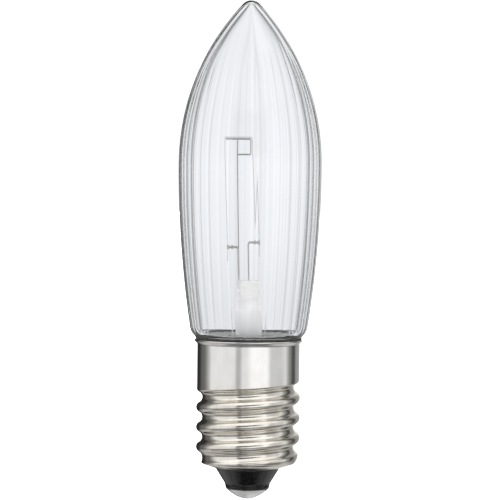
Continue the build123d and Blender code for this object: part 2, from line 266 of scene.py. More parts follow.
def make_studio():
    world = bpy.data.worlds.new("studio")
    bpy.context.scene.world = world
    world.use_nodes = True
    world.node_tree.nodes.clear()
    flow = Flow(world.node_tree)
    x, y, z = flow.node("ShaderNodeTexCoord", out="Generated").parts()
    turn = flow.math("ARCTAN2", x, 0 - y) / (2 * pi) + 0.5
    height = z * 0.5 + 0.5
    ground = ring_of_panels(turn, THROUGH).times(height.ramp(*GROUND_FADE))
    path = flow.node("ShaderNodeLightPath").socket.node
    refracted, bounces, straight_on = (Flow(flow.tree, path.outputs[label]) for label in (
        "Is Transmission Ray", "Diffuse Depth", "Is Camera Ray"))
    light = refracted.mix(mirrored_light(turn, height, y * 0.5 + 0.5), ground)
    light = flow.math("GREATER_THAN", bounces, 0.5).mix(light, grey(SOFT_LIGHT))
    light = straight_on.mix(light, grey(BACKDROP_LIGHT))
    shine = flow.node("ShaderNodeBackground", None, {"Color": light, "Strength": 1.0})
    flow.node("ShaderNodeOutputWorld", None, {"Surface": shine})
    return world


studio = make_studio()
print("world:", studio.name, "with", len(studio.node_tree.nodes), "nodes")

# %% [markdown]
# ## Floor and picture settings
#
# The lamp stands on a white table that melts into the ground behind it. A plane with a little light of its
# own gives that without a shadow, and it is kept out of mirrors and glass, where the panels already say
# what is seen. Light passes many walls of glass here, so the number of bounces is raised.

# %% Floor and picture settings
FLOOR_HALF, FLOOR_GREY, FLOOR_ROUGH, FLOOR_GLOW = 3.0, 0.93, 0.9, 0.55


def make_floor():
    mesh = bpy.data.meshes.new("floor")
    shape = bmesh.new()
    bmesh.ops.create_grid(shape, x_segments=2, y_segments=2, size=FLOOR_HALF)
    shape.to_mesh(mesh)
    shape.free()
    floor = bpy.data.objects.new("floor", mesh)
    bpy.context.scene.collection.objects.link(floor)
    paint = bpy.data.materials.new("pale_floor")
    paint.use_nodes = True
    shader = paint.node_tree.nodes["Principled BSDF"]
    shader.inputs["Base Color"].default_value = grey(FLOOR_GREY)
    shader.inputs["Roughness"].default_value = FLOOR_ROUGH
    shader.inputs["Emission Color"].default_value = grey(1.0)
    shader.inputs["Emission Strength"].default_value = FLOOR_GLOW
    mesh.materials.append(paint)
    floor.visible_glossy = False
    floor.visible_transmission = False
    return floor


floor = make_floor()
scene = bpy.context.scene
scene.view_settings.view_transform = "Standard"
scene.cycles.max_bounces = 24
scene.cycles.transmission_bounces = 20
scene.cycles.glossy_bounces = 10
scene.cycles.transparent_max_bounces = 16
scene.cycles.sample_clamp_indirect = 6.0
print("floor", [round(value, 1) for value in floor.dimensions])

# %% [markdown]
# ## Profiles
#
# Most of a lamp is turned or blown about one axis, so a piece starts as a line of points in the half plane
# of radius and height. Arcs are sampled finely, and corners are eased, because real glass and rolled brass
# have none.

# %% Lines in the half plane
def arc(centre, radius, start, end, count):
    """Points on an arc, angles in degrees, both ends included."""
    turns = [radians(start + (end - start) * k / count) for k in range(count + 1)]
    return [(centre[0] + radius * cos(t), centre[1] + radius * sin(t)) for t in turns]


def straight(start, end, count):
    """Points from start to end, without the end."""
    return [tuple(a + (b - a) * k / count for a, b in zip(start, end)) for k in range(count)]


def eased(points, cut, steps=4, most=0.45):
    """The same line with each inner corner rounded by a curve that starts a cut's length before it."""
    line = [Vector(points[0])]
    for before, corner, after in zip(points, points[1:], points[2:]):
        before, corner, after = Vector(before), Vector(corner), Vector(after)
        near = min(cut, most * (before - corner).length, most * (after - corner).length)
        start = corner + (before - corner).normalized() * near
        end = corner + (after - corner).normalized() * near
        for k in range(steps + 1):
            t = k / steps
            line.append(start * (1 - t) ** 2 + corner * 2 * t * (1 - t) + end * t ** 2)
    return [tuple(p) for p in line + [Vector(points[-1])]]


def share_between(value, low, high):
    """0 below low, 1 above high, and a smooth step between them."""
    t = min(1.0, max(0.0, (value - low) / (high - low)))
    return t * t * (3 - 2 * t)


print("quarter arc of radius 1:", len(arc((0, 0), 1, 0, 90, 8)), "points")

# %% [markdown]
# ## Geometry Nodes that turn a profile
#
# A tree takes the profile's points and lays a grid around the axis, one row for each point and one column
# for each angle. A formula for the radius can then press flutes or roll a thread into the wall, which a
# plain Screw modifier could not do. Seam and poles are merged, so that the mesh is closed.

# %% Trees with named inputs
SOCKETS = {int: "NodeSocketInt", float: "NodeSocketFloat"}


def new_tree(name, **sizes):
    """Empty tree with named inputs; returns it and what flows out of its inputs."""
    tree = bpy.data.node_groups.new(name, "GeometryNodeTree")
    tree.interface.new_socket("Geometry", in_out="INPUT", socket_type="NodeSocketGeometry")
    for label, value in sizes.items():
        socket = tree.interface.new_socket(label, in_out="INPUT", socket_type=SOCKETS[type(value)])
        socket.default_value = value
    tree.interface.new_socket("Material", in_out="INPUT", socket_type="NodeSocketMaterial")
    tree.interface.new_socket("Geometry", in_out="OUTPUT", socket_type="NodeSocketGeometry")
    entry = tree.nodes.new("NodeGroupInput")
    return tree, {socket.name: Flow(tree, socket) for socket in entry.outputs}


def close_tree(tree, inlet, geometry):
    """Every tree ends the same way: real geometry, smooth, with its material."""
    flow = Flow(tree)
    real = flow.node("GeometryNodeRealizeInstances", None, {0: geometry})
    smooth = flow.node("GeometryNodeSetShadeSmooth", None, {"Geometry": real})
    finish = {"Geometry": smooth, "Material": inlet["Material"]}
    flow.node("NodeGroupOutput", None, {0: flow.node("GeometryNodeSetMaterial", None, finish)})
    return tree


print("kinds of input:", [kind.__name__ for kind in SOCKETS])

# %% Tree that turns a profile
MERGE_DISTANCE = 2e-8


def turned_tree(name, shape, **sizes):
    """Tree that turns a profile about Z; shape gives the wall's radius from what is known at each point."""
    tree, inlet = new_tree(name, Around=180, **sizes)
    flow = Flow(tree)
    count = flow.node("GeometryNodeAttributeDomainSize", {"component": "MESH"}, {0: inlet["Geometry"]})
    grid = flow.node("GeometryNodeMeshGrid", None, {
        "Size X": 1.0, "Size Y": 1.0, "Vertices X": inlet["Around"] + 1, "Vertices Y": count})
    x, y, _ = flow.node("GeometryNodeInputPosition").parts()
    angle = (x + 0.5) * (2 * pi)
    row = (y + 0.5) * (count - 1) + 0.5
    place = flow.node("GeometryNodeSampleIndex", {"data_type": "FLOAT_VECTOR"}, {
        "Geometry": inlet["Geometry"], "Value": flow.node("GeometryNodeInputPosition"), "Index": row})
    share = flow.node("GeometryNodeSampleIndex", {"data_type": "FLOAT"}, {
        "Geometry": inlet["Geometry"], "Index": row,
        "Value": flow.node("GeometryNodeInputNamedAttribute", {"data_type": "FLOAT"}, {"Name": "share"})})
    radius, _, height = place.parts()
    wall = shape(inlet, radius, height, angle, share)
    point = flow.node("ShaderNodeCombineXYZ", None, {
        0: wall * flow.math("COSINE", angle), 1: wall * flow.math("SINE", angle), 2: height})
    laid = flow.node("GeometryNodeSetPosition", None, {"Geometry": grid, "Position": point})
    closed = flow.node("GeometryNodeMergeByDistance", None, {"Geometry": laid, "Distance": MERGE_DISTANCE})
    return close_tree(tree, inlet, closed)


plain_turning = turned_tree("plain_turning", lambda inlet, radius, height, angle, share: radius)
print("tree:", plain_turning.name)

# %% [markdown]
# ## Geometry Nodes for wires and for lumps
#
# A curve object with a bevel would draw a plain wire, but not a coil around a bent line, so both are trees:
# one sweeps a ring along the eased line, the other first winds the line into a helix on its own normals. A
# third tree pushes a surface in and out along its normals, for what has set from a melt or a paste.

# %% Trees for wires and lumps
BEND_STEPS, WIRE_SIDES, COIL_SIDES, TURN_STEPS = 7, 14, 5, 10


def bent_line(flow, inlet):
    """The lines of the base as curves with eased bends."""
    line = flow.node("GeometryNodeMeshToCurve", None, {"Mesh": inlet["Geometry"]})
    return flow.node("GeometryNodeFilletCurve", {"mode": "POLY"}, {
        "Curve": line, "Count": BEND_STEPS, "Radius": inlet["Bend"], "Limit Radius": True})


def swept(flow, line, diameter, sides):
    """A round wire along a curve, closed at its ends."""
    ring = flow.node("GeometryNodeCurvePrimitiveCircle", {"mode": "RADIUS"}, {
        "Resolution": sides, "Radius": diameter * 0.5})
    return flow.node("GeometryNodeCurveToMesh", None, {
        "Curve": line, "Profile Curve": ring, "Fill Caps": True})


def wire_tree():
    """Tree that draws a round wire along each line of its base."""
    tree, inlet = new_tree("drawn_wire", Diameter=0.0002, Bend=0.0002, Sides=WIRE_SIDES)
    flow = Flow(tree)
    return close_tree(tree, inlet, swept(flow, bent_line(flow, inlet), inlet["Diameter"], inlet["Sides"]))


def coil_tree():
    """Tree that winds a thin wire round the line of its base: a helix on the line's own normals."""
    tree, inlet = new_tree("coiled_wire", Coil=0.0001, Wire=0.00002, Pitch=0.00005, Bend=0.0002,
                           Steps=TURN_STEPS)
    flow = Flow(tree)
    fine = flow.node("GeometryNodeResampleCurve", {"mode": "LENGTH"}, {
        "Curve": bent_line(flow, inlet), "Length": inlet["Pitch"] / inlet["Steps"]})
    turn = flow.node("GeometryNodeSplineParameter", out="Length") / inlet["Pitch"] * (2 * pi)
    reach = (inlet["Coil"] - inlet["Wire"]) * 0.5
    normal, tangent = flow.node("GeometryNodeInputNormal"), flow.node("GeometryNodeInputTangent")
    across = flow.node("ShaderNodeVectorMath", {"operation": "CROSS_PRODUCT"}, {0: tangent, 1: normal})
    axes = ((normal, "COSINE"), (across, "SINE"))
    sides = [flow.node("ShaderNodeVectorMath", {"operation": "SCALE"}, {
        0: axis, "Scale": reach * flow.math(kind, turn)}) for axis, kind in axes]
    offset = flow.node("ShaderNodeVectorMath", {"operation": "ADD"}, dict(enumerate(sides)))
    wound = flow.node("GeometryNodeSetPosition", None, {"Geometry": fine, "Offset": offset})
    return close_tree(tree, inlet, swept(flow, wound, inlet["Wire"], COIL_SIDES))


def lumpy_tree():
    """Tree that pushes a surface in and out along its normals, as set solder or baked cement is."""
    tree, inlet = new_tree("lumpy", Lumps=0.0001, Grain=0.0005)
    flow = Flow(tree)
    noise = flow.node("ShaderNodeTexNoise", None, {
        "Vector": flow.node("GeometryNodeInputPosition"), "Scale": 1.0 / inlet["Grain"], "Detail": 3.0})
    push = flow.node("ShaderNodeVectorMath", {"operation": "SCALE"}, {
        0: flow.node("GeometryNodeInputNormal"), "Scale": (noise - 0.5) * inlet["Lumps"]})
    return close_tree(tree, inlet, flow.node("GeometryNodeSetPosition", None, {
        "Geometry": inlet["Geometry"], "Offset": push}))


drawn_wire, coiled_wire, lumpy = wire_tree(), coil_tree(), lumpy_tree()
print("trees:", [group.name for group in bpy.data.node_groups])

# %% [markdown]
# ## From a tree to a piece
#
# A modifier holds the tree while the mesh is made. Its inputs are set by the identifiers of their sockets,
# the result is copied out as a plain mesh, and the modifier is removed, so that each finished piece is only
# a mesh at the origin. The last helper hangs a piece under the root body and hides the solids it replaces.

# %% Pieces from trees
def socket_id(tree, label):
    return next(item.identifier for item in tree.interface.items_tree
                if item.item_type == "SOCKET" and item.in_out == "INPUT" and item.name == label)


def grown(name, base, tree, **sizes):
    """Object at the origin with the mesh that the tree makes from the base."""
    piece = bpy.data.objects.new(name, base)
    bpy.context.scene.collection.objects.link(piece)
    maker = piece.modifiers.new("maker", "NODES")
    maker.node_group = tree
    for label, value in sizes.items():
        maker[socket_id(tree, label)] = value
    bpy.context.view_layer.update()
    seen = piece.evaluated_get(bpy.context.evaluated_depsgraph_get())
    made = bpy.data.meshes.new_from_object(seen)
    piece.modifiers.remove(maker)
    piece.data = made
    made.name = name
    print(f"{name}: {sum(len(p.vertices) - 2 for p in made.polygons)} triangles")
    return piece


def regrown(piece, tree, **sizes):
    """The same piece, passed through one more tree."""
    name, base = piece.name, piece.data
    bpy.data.objects.remove(piece)
    return grown(name, base, tree, **sizes)


def line_mesh(name, *lines, shares=None):
    """Points in millimetres, each line joined in a row, as the base that a tree grows from."""
    mesh = bpy.data.meshes.new(name)
    places, joints = [], []
    for line in lines:
        joints += [(len(places) + k, len(places) + k + 1) for k in range(len(line) - 1)]
        places += [Vector((p[0], 0.0, p[1]) if len(p) == 2 else p) * MM for p in line]
    mesh.from_pydata(places, joints, [])
    values = mesh.attributes.new("share", "FLOAT", "POINT")
    for item, value in zip(values.data, shares or [0.0] * len(places)):
        item.value = value
    return mesh


def dressed(piece, slot, *nodes):
    """Hangs a finished piece under the root body and hides the solids that it stands for."""
    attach(piece, "root")
    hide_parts(*nodes)
    return piece


print("inputs of a wire:", [item.name for item in drawn_wire.interface.items_tree if item.in_out == "INPUT"])

# %% [markdown]
# ## Finishes
#
# Each finish is a Principled shader whose colour, roughness or bump varies as the real surface does. The
# patterns read Object coordinates, and since every piece sits at the origin, those are metres in the lamp's
# own frame.

# %% Material helper
def new_finish(name, **values):
    """Material with a Principled shader, its flow and its shader; values are constants by socket name."""
    material = bpy.data.materials.new(name)
    material.use_nodes = True
    shader = material.node_tree.nodes["Principled BSDF"]
    for label, value in values.items():
        shader.inputs[label.replace("_", " ")].default_value = value
    return material, Flow(material.node_tree), shader


def feed(shader, label, value):
    value.tree.links.new(value.socket, shader.inputs[label])


def speckle(flow, stretch, scale, detail):
    """Noise in millimetres, stretched along each axis; about 0.5 on average."""
    place = flow.node("ShaderNodeMapping", None, {
        "Vector": flow.node("ShaderNodeTexCoord", out="Object"), "Scale": tuple(s / MM for s in stretch)})
    return flow.node("ShaderNodeTexNoise", None, {"Vector": place, "Scale": scale, "Detail": detail})


def uneven(shader, height, distance, strength):
    """Bump by a height of that many millimetres."""
    feed(shader, "Normal", height.node("ShaderNodeBump", None, {
        "Height": height, "Distance": distance * MM, "Strength": strength}))


print("finish helpers ready")

# %% [markdown]
# ### Glass
#
# Blown glass is clear and smooth, with slow waves. The stem was pressed flat at its top while soft, and the
# jaws left it milky there, while the tube below stays pale: its colour goes by height, and part of its
# light is scattered instead of passed on. The black insulator is glass too, opaque and fire-polished, with
# a few dull specks.

# %% Glass finishes
def make_clear_glass():
    """Blown soda glass: a trace of grey-blue, and slow waves along the draw of the mould."""
    material, flow, shader = new_finish("clear_glass", IOR=1.5, Transmission_Weight=1.0, Roughness=0.0)
    waves = speckle(flow, (1.0, 1.0, 0.12), 0.9, 1.0)
    feed(shader, "Base Color", waves.ramp((0.2, (0.955, 0.967, 0.988)), (0.8, (0.972, 0.982, 0.998))))
    uneven(shader, waves, 0.002, 0.5)
    return material


def make_stem_glass():
    """Pressed lead glass of the stem: a pale tube, and a warm press that the jaws marked."""
    material, flow, shader = new_finish("stem_glass", IOR=1.5, Transmission_Weight=0.45)
    marks = speckle(flow, (1.0, 1.0, 2.0), 1.6, 3.0)
    height = flow.node("ShaderNodeTexCoord", out="Object").parts()[2] / MM
    press = ((height - Z_TUBE_TOP) / (Z_PRESS - Z_TUBE_TOP)).ramp((0.3, 0.0), (0.6, 1.0))
    pale = marks.ramp((0.3, (0.97, 0.965, 0.95)), (0.75, (0.995, 0.99, 0.98)))
    warm = marks.ramp((0.3, (0.82, 0.81, 0.77)), (0.75, (0.93, 0.92, 0.89)))
    feed(shader, "Base Color", press.mix(pale, warm))
    feed(shader, "Roughness", marks * 0.35 + 0.02)
    uneven(shader, marks, 0.02, 0.6)
    return material


def make_black_glass():
    """Moulded black glass with a fire polish, a few dull specks and slow ripples."""
    material, flow, shader = new_finish("black_glass", IOR=1.52, Coat_Weight=0.3)
    specks = speckle(flow, (1, 1, 1), 3.5, 4.0)
    feed(shader, "Base Color", specks.ramp((0.4, (0.001, 0.001, 0.0012)), (0.8, (0.004, 0.004, 0.004))))
    feed(shader, "Roughness", specks.ramp((0.35, 0.05), (0.8, 0.22)))
    uneven(shader, speckle(flow, (1, 1, 1), 0.9, 1.0), 0.03, 0.5)
    return material


clear_glass, stem_glass, black_glass = make_clear_glass(), make_stem_glass(), make_black_glass()
print("glass finishes:", clear_glass.name, stem_glass.name, black_glass.name)

# %% [markdown]
# ### Metals
#
# The cap is brass under thin nickel, which wears warm on the thread and stays cold on the smooth skirt,
# with fine lines around the axis from the rolling dies. Solder set with soft swirls. Drawn wire has die
# lines along it and an uneven oxide, so one function makes every wire from two colours and a dullness.

# %% Metal finishes
TINT_SPAN = 20.0


def make_nickel_plate():
    """Rolled brass under thin nickel: fine lines around the axis, and stains, warmer on the thread."""
    material, flow, shader = new_finish("nickel_plate", Metallic=1.0)
    lines = speckle(flow, (0.15, 0.15, 9.0), 1.0, 3.0)
    stains = speckle(flow, (1.0, 1.0, 0.6), 1.1, 5.0)
    height = flow.node("ShaderNodeTexCoord", out="Object").parts()[2] / MM
    skirt = (height / TINT_SPAN).ramp((0.50, 0.0), (0.56, 1.0))
    warm = stains.ramp((0.35, (0.78, 0.74, 0.67)), (0.62, (0.90, 0.87, 0.81)))
    cold = stains.ramp((0.35, (0.83, 0.82, 0.80)), (0.62, (0.88, 0.875, 0.865)))
    feed(shader, "Base Color", skirt.mix(warm, cold))
    feed(shader, "Roughness", lines * 0.05 + stains * 0.10 + 0.04)
    uneven(shader, lines, 0.0015, 0.5)
    return material


def make_solder():
    """Flowed tin: bright, with soft swirls where it set."""
    material, flow, shader = new_finish("solder", Metallic=1.0)
    swirls = speckle(flow, (1, 1, 1), 1.4, 4.0)
    feed(shader, "Base Color", swirls.ramp((0.3, (0.74, 0.74, 0.73)), (0.7, (0.88, 0.88, 0.87))))
    feed(shader, "Roughness", swirls * 0.25 + 0.08)
    uneven(shader, swirls, 0.05, 0.5)
    return material


def make_drawn_wire(name, dark, light, dull):
    """Drawn wire: die lines along it and a thin uneven oxide."""
    material, flow, shader = new_finish(name, Metallic=1.0)
    oxide = speckle(flow, (3.0, 3.0, 0.8), 1.5, 3.0)
    feed(shader, "Base Color", oxide.ramp((0.3, dark), (0.7, light)))
    feed(shader, "Roughness", oxide * 0.2 + dull)
    uneven(shader, speckle(flow, (12.0, 12.0, 0.3), 1.0, 2.0), 0.004, 0.4)
    return material


nickel_plate, solder = make_nickel_plate(), make_solder()
nickel_wire = make_drawn_wire("nickel_wire", (0.70, 0.69, 0.66), (0.86, 0.85, 0.82), 0.35)
copper_wire = make_drawn_wire("copper_wire", (0.62, 0.33, 0.22), (0.80, 0.47, 0.32), 0.25)
support_wire = make_drawn_wire("support_wire", (0.56, 0.55, 0.53), (0.74, 0.73, 0.71), 0.35)
tungsten = make_drawn_wire("tungsten", (0.74, 0.74, 0.75), (0.88, 0.88, 0.89), 0.40)
contact_brass = make_drawn_wire("contact_brass", (0.62, 0.48, 0.24), (0.80, 0.66, 0.38), 0.25)
print("metal finishes:", nickel_plate.name, solder.name, nickel_wire.name, tungsten.name)

# %% [markdown]
# ### Cement
#
# Basing cement is a pale paste that is baked in the cap. What was squeezed out over the rim lies in a narrow
# gap under the glass, and it is painted nearly black as the shade that falls there, while what lies deeper,
# or against the glass, stays paler. The painted shade goes by height above the rim and by distance from the
# neck, with some noise, so that no image is needed.

# %% Cement finish
def make_cement_finish():
    """Baked basing cement: pale grains, with painted shade, nearly black, above the rim and away from the
    glass.
    """
    material, flow, shader = new_finish("cement")
    grains = speckle(flow, (1, 1, 1), 5.0, 5.0)
    x, y, z = flow.node("ShaderNodeTexCoord", out="Object").parts()
    out = flow.math("SQRT", x * x + y * y) / MM - NECK_R
    # Painted shade: the top of the cement over the rim, in the narrow gap under the glass, is made nearly
    # black.
    height_over_rim = z / MM - Z_RIM + speckle(flow, (1, 1, 1), 0.9, 3.0) * 0.3 + 0.3
    painted_gap_shade = height_over_rim.ramp((0.26, 0.0), (0.40, 1.0)) * out.ramp((0.04, 0.6), (0.12, 1.0))
    pale = grains.ramp((0.3, (0.66, 0.64, 0.60)), (0.7, (0.95, 0.93, 0.90)))
    dark = grains.ramp((0.3, (0.006, 0.005, 0.004)), (0.7, (0.04, 0.035, 0.03)))
    feed(shader, "Base Color", painted_gap_shade.mix(pale, dark))
    feed(shader, "Roughness", grains * 0.2 + 0.75)
    uneven(shader, grains, 0.08, 0.7)
    return material


cement = make_cement_finish()
print("finish:", cement.name)

# %% [markdown]
# ## Glass envelope
#
# The bulb was blown into a mould with narrow ribs, so its outside is a ring of nearly flat strips that meet
# in soft ridges, and its inside is smooth. No two strips are alike: each has its own depth and fades out at
# its own height below the tip. The profile runs down the inner wall, round the sealed edge and up the
# outside, and the tree presses the strips in, with white noise on a strip's number for what differs.

# %% Fluted wall
FLUTES, FLUTE_DEPTH, FLUTE_UNLIKE, STRIP_COLUMNS = 36, 0.032, 0.5, 16
Z_FLUTE_START, Z_FLUTE_FULL, Z_FLUTE_END = Z_RIM + 0.164, Z_RIM + 1.064, Z_BELLY + 9.064
END_SPREAD, END_FADE, NECK_STEP, NECK_EASE, NECK_EASE_IN = 4.0, 2.0, 0.02, 0.2, 0.25


def fluted(inlet, radius, height, angle, share):
    """Radius less a dip across each strip, by its own depth and up to its own end."""
    strips = angle / (2 * pi) * inlet["Flutes"] + 0.5
    across = strips.math("FRACT", strips)
    whole = strips.math("FLOOR", strips)
    number = whole.math("MODULO", whole, inlet["Flutes"])
    chance = strips.node("ShaderNodeTexWhiteNoise", {"noise_dimensions": "1D"}, {"W": number})
    dip = across * (1 - across) * 4 * (chance * inlet["Unlike"] + 1 - inlet["Unlike"])
    fade = ((inlet["End"] + chance * END_SPREAD * MM - height) / (END_FADE * MM)).clamped()
    return radius - share * fade * dip * inlet["Depth"] * radius / (MAX_R * MM)


def glass_line(inset, count):
    """Side of the glass from the tip to the neck, set in by a wall."""
    shoulder_start = arc((MAX_R - BARREL_R, Z_BELLY), BARREL_R, -BARREL_TURN, -BARREL_TURN, 1)[0]
    shoulder_centre = arc(shoulder_start, SHOULDER_R, 180 - BARREL_TURN, 180 - BARREL_TURN, 1)[0]
    tip = arc((0, Z_TIP), TIP_R - inset, 90, OGIVE_TURN, count)
    ogive = arc((MAX_R - OGIVE_R, Z_BELLY), OGIVE_R - inset, OGIVE_TURN, 0, 3 * count)
    barrel = arc((MAX_R - BARREL_R, Z_BELLY), BARREL_R - inset, 0, -BARREL_TURN, 3 * count)
    shoulder = arc(shoulder_centre, SHOULDER_R - inset, -BARREL_TURN, -SHOULDER_TURN, 2 * count)
    tip[0] = (0.0, Z_APEX - inset)
    return tip + ogive[1:] + barrel[1:] + shoulder[1:]


def make_envelope():
    outer, inner, neck_in_r = glass_line(0, 8), glass_line(GLASS_WALL, 6), NECK_R - GLASS_WALL
    neck = eased([outer[-1], (NECK_R, outer[-1][1] - NECK_STEP), (NECK_R, Z_SEAL)], NECK_EASE)[1:]
    neck_in = eased([inner[-1], (neck_in_r, inner[-1][1]), (neck_in_r, Z_SEAL)], NECK_EASE_IN)[1:]
    inside, outside = inner + neck_in, (outer + neck)[::-1]
    shares = [0.0] * len(inside) + [share_between(z, Z_FLUTE_START, Z_FLUTE_FULL) for _, z in outside]
    tree = turned_tree("fluted_wall", fluted, Flutes=FLUTES, Depth=0.0, Unlike=0.3, End=0.0)
    return grown("fluted_glass", line_mesh("glass_line", inside + outside, shares=shares), tree,
                 Around=FLUTES * STRIP_COLUMNS, Flutes=FLUTES, Depth=FLUTE_DEPTH * MM, Unlike=FLUTE_UNLIKE,
                 End=Z_FLUTE_END * MM, Material=clear_glass)


dressed(make_envelope(), "clear_glass", "glass_envelope")

# %% [markdown]
# ## Screw shell
#
# The cap is thin brass rolled between two dies, so crest and root are arcs of one radius that run into each
# other. The blank's profile is turned as before, and the tree takes the smaller of the blank and the
# groove. The groove lifts out of the wall over almost half a turn at either end, as the die does, and a
# smooth minimum rounds the ridge that its lowest turn leaves on the corner of the blank.

# %% Thread in the wall
LIFT_OVER = 0.1


def rolled(inlet, radius, height, angle, share):
    """The smaller of the blank's radius and the groove's, where the share says that the die reached."""
    pitch, depth, roll = inlet["Pitch"], inlet["Depth"], inlet["Roll"]
    around = (angle / (2 * pi) + 0.5).math("FRACT", angle / (2 * pi) + 0.5)
    turns = (height - inlet["Start"]) / pitch - around
    strand = turns.math("ROUND", turns)
    off = turns.math("ABSOLUTE", turns - strand) * pitch
    near = pitch * 0.5 - off
    root = depth - roll + off.math("SQRT", roll * roll - off * off)
    crest = roll - near.math("SQRT", roll * roll - near * near)
    in_root = off.math("LESS_THAN", off, pitch * 0.25)
    cut = in_root * root + (1 - in_root) * crest
    along = strand + around
    past = along.math("MAXIMUM", 0 - along, along - inlet["Turns"])
    lift = past.math("MAXIMUM", past, 0.0) / inlet["Runout"] * (depth + LIFT_OVER * MM)
    groove = inlet["Crest"] - cut.math("MAXIMUM", cut - lift, 0.0)
    ease = inlet["Ease"] * ((inlet["Start"] - height) / pitch + 0.5).clamped()
    return share * radius.math("SMOOTH_MIN", radius, groove, ease) + (1 - share) * radius


print("thread:", THREAD_TURNS, "turns of pitch", THREAD_PITCH)

# %% Rolled shell
FOOT_R, FOOT_RISE, FOOT_TOP, RIDGE_EASE, LIP_EASE = 4.5, 0.45, 2.0, 1.9, 0.1
SHELL_LEVELS, SHELL_COLUMNS = 180, 240


def make_shell():
    slope = tan(radians(FLOOR_TILT))
    z_corner, z_lip = Z_MOUTH + (CREST_R - MOUTH_R) * slope, Z_RIM - LIP_HEIGHT
    z_runout, floor_z = Z_GROOVE_TOP + THREAD_PITCH / 2, Z_MOUTH + SHELL_WALL / cos(radians(FLOOR_TILT))
    bore_r, skirt_in = CREST_R - THREAD_DEPTH - SHELL_WALL, SKIRT_R - SHELL_WALL
    lip_r = SKIRT_R + LIP_OVERHANG
    foot = eased([(MOUTH_R, Z_MOUTH), (FOOT_R, Z_MOUTH + (FOOT_R - MOUTH_R) * slope),
                  (CREST_R, z_corner + FOOT_RISE), (CREST_R, z_corner + FOOT_TOP)], 0.5 * CORNER_R, 10)[:-1]
    levels = [z for _, z in straight(foot[-1], (CREST_R, z_runout), SHELL_LEVELS)]
    narrowing = [share_between(z, Z_GROOVE_TOP - THREAD_PITCH / 2, Z_GROOVE_TOP) for z in levels]
    wall = [(CREST_R + (SKIRT_R - CREST_R) * n, z) for n, z in zip(narrowing, levels)]
    top = eased([(SKIRT_R, z_runout), (SKIRT_R, z_lip), (lip_r, z_lip + LIP_OVERHANG), (lip_r, Z_RIM),
                 (lip_r - SHELL_WALL, Z_RIM), (skirt_in, z_lip)], LIP_EASE, 5)
    inside = [(skirt_in, z_runout), (bore_r, z_runout - THREAD_DEPTH),
              (bore_r, floor_z + (bore_r - MOUTH_R) * slope), (MOUTH_R, floor_z), (MOUTH_R, Z_MOUTH)]
    line = foot[:-1] + wall + top + inside
    threaded = len(foot) + len(wall)
    shares = [1.0] * threaded + [0.0] * (len(line) - threaded)
    tree = turned_tree("rolled_shell", rolled, Crest=0.0, Pitch=0.001, Depth=0.0, Roll=0.001, Start=0.0,
                       Turns=3.5, Runout=0.5, Ease=0.0)
    return grown("rolled_shell", line_mesh("shell_line", line, shares=shares), tree, Around=SHELL_COLUMNS,
                 Crest=CREST_R * MM, Pitch=THREAD_PITCH * MM, Depth=THREAD_DEPTH * MM, Roll=THREAD_R * MM,
                 Start=Z_GROOVE * MM, Turns=THREAD_TURNS, Runout=RUNOUT_TURNS, Ease=RIDGE_EASE * MM,
                 Material=nickel_plate)


dressed(make_shell(), "nickel_plate", "screw_shell")

# %% [markdown]
# ## Insulator and centre contact
#
# A cone of black glass closes the cap, and a drop of solder stands on the plate in its foot. Both are
# turned pieces with eased edges. The drop's side follows a power of its radius, which is flatter at the tip
# than a ball.

# %% Turned pieces of the cap
CONE_FOOT_R, CONE_R, FILL_R, CONE_EASE, MOUTH_FIT = 1.99, 2.05, 3.88, 0.16, 0.004
CONE_SEAT, COLLAR_RISE, FILL_RISE, Z_FILL, POLE_R = 0.02, 0.2, 0.55, Z_MOUTH + 1.6, 0.3
DROP_POWER, DROP_STEPS, DROP_EDGE, DROP_SEAT, DROP_EASE = 1.85, 24, 0.1, 0.03, 0.05


def make_insulator():
    collar_r, z_seat = MOUTH_R - MOUTH_FIT, Z_PLATE + CONE_SEAT
    line = eased([(0.0, z_seat), (CONE_FOOT_R, z_seat), (CONE_R, Z_FOOT), (collar_r, Z_MOUTH),
                  (collar_r, Z_MOUTH + COLLAR_RISE), (FILL_R, Z_MOUTH + FILL_RISE), (FILL_R, Z_FILL),
                  (POLE_R, Z_FILL)], CONE_EASE, 6)
    base = line_mesh("insulator_line", line + [(0.0, Z_FILL)])
    return grown("insulator_cone", base, plain_turning, Around=120, Material=black_glass)


def make_centre_solder():
    shares = [k / DROP_STEPS for k in range(DROP_STEPS + 1)]
    drop = [(SOLDER_R * u, Z_PLATE * u ** DROP_POWER) for u in shares]
    z_top = Z_PLATE + DROP_SEAT
    edge = eased([drop[-2], drop[-1], (SOLDER_R - DROP_EDGE, z_top), (0.0, z_top)], DROP_EASE)
    base = line_mesh("solder_line", drop[:-2] + edge)
    return grown("solder_drop", base, plain_turning, Around=96, Material=solder)


dressed(make_insulator(), "black_glass", "insulator")
dressed(make_centre_solder(), "solder", "centre_solder")

# %% [markdown]
# ## Cement ring and side solder
#
# The cement fills the gap around the neck, and a bead of it was squeezed out between the lip and the glass;
# its finish paints it nearly black as the shade in that gap, the dark line above the rim. At the back, a blob
# of solder joins the side wire to the lip. A turned ring and a squashed ball have the right size but look
# machined, so the tree of lumps roughens both.

# %% Cement ring
CEMENT_LAP, CEMENT_LUMPS, CEMENT_GRAIN = 0.01, 0.08, 0.35
LIP_FILLET, BEAD_FOOT, BEAD_EDGE = (0.06, -0.06), (0.22, -0.02), (4.79, 0.04)
BEAD_TOP = [(4.84, 0.24), (4.72, 0.15), (4.60, 0.07), (4.40, 0.05)]


def at_rim(radius, rise):
    return (radius, Z_RIM + rise)


